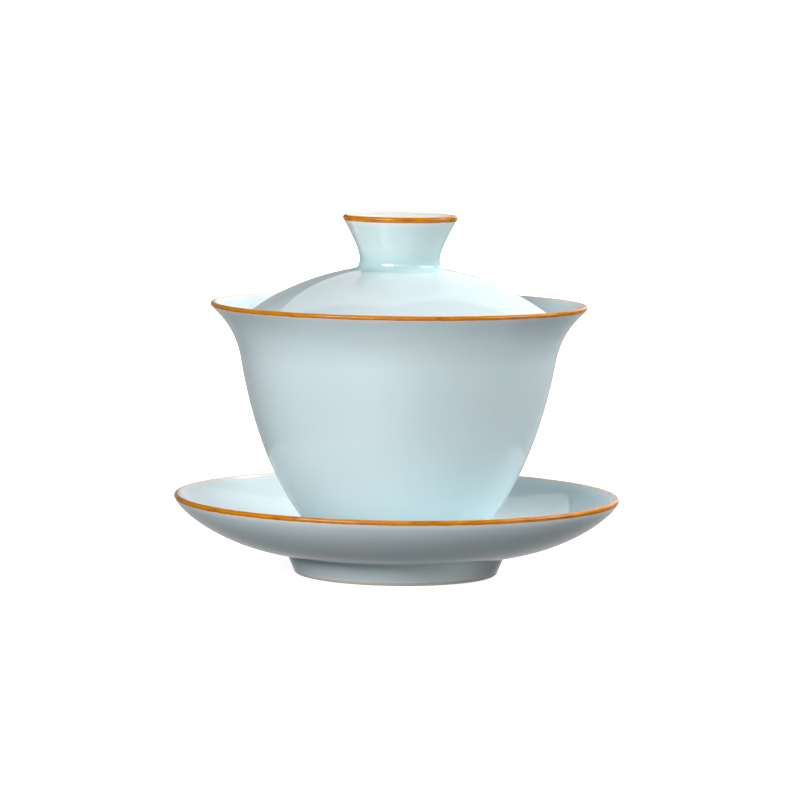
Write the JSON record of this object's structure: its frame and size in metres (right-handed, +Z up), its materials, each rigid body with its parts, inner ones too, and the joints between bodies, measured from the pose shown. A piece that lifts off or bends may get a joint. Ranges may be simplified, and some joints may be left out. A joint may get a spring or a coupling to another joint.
{
  "type": "gaiwan",
  "caption": "Lidded porcelain tea bowl on a footed saucer, with a flared lip, a domed lid with a hollow flared knob, and ochre-glazed rims.",
  "frame": {"origin": "centre of the saucer's foot, on the plane that it stands on", "axes": "+Z up, along the axis that the saucer, the bowl and the lid are all turned about; +X and +Y are level and equivalent"},
  "size_m": [0.1184, 0.1184, 0.0954],
  "materials": {
    "celadon_glaze": "glossy pale sky-blue glaze over white porcelain",
    "ochre_rim_glaze": "glossy ochre-brown rim glaze",
    "bare_biscuit": "unglazed fine white porcelain, satin"
  },
  "bodies": {
    "saucer": {"saucer_dish": "celadon_glaze", "saucer_rim_band": "ochre_rim_glaze", "saucer_foot_ring": "celadon_glaze", "saucer_foot_edge": "bare_biscuit"},
    "bowl": {"bowl_wall": "celadon_glaze", "bowl_rim_band": "ochre_rim_glaze", "bowl_foot_ring": "celadon_glaze", "bowl_foot_edge": "bare_biscuit"},
    "lid": {"lid_dome": "celadon_glaze", "lid_bare_edge": "bare_biscuit", "lid_knob": "celadon_glaze", "knob_rim_band": "ochre_rim_glaze"}
  },
  "joints": [
    {"name": "bowl_lift", "type": "slide", "parent": "saucer", "child": "bowl", "axis": [0, 0, 1], "range_m": [0, 0.06]},
    {"name": "lid_lift", "type": "slide", "parent": "bowl", "child": "lid", "axis": [0, 0, 1], "range_m": [0, 0.06]}
  ]
}
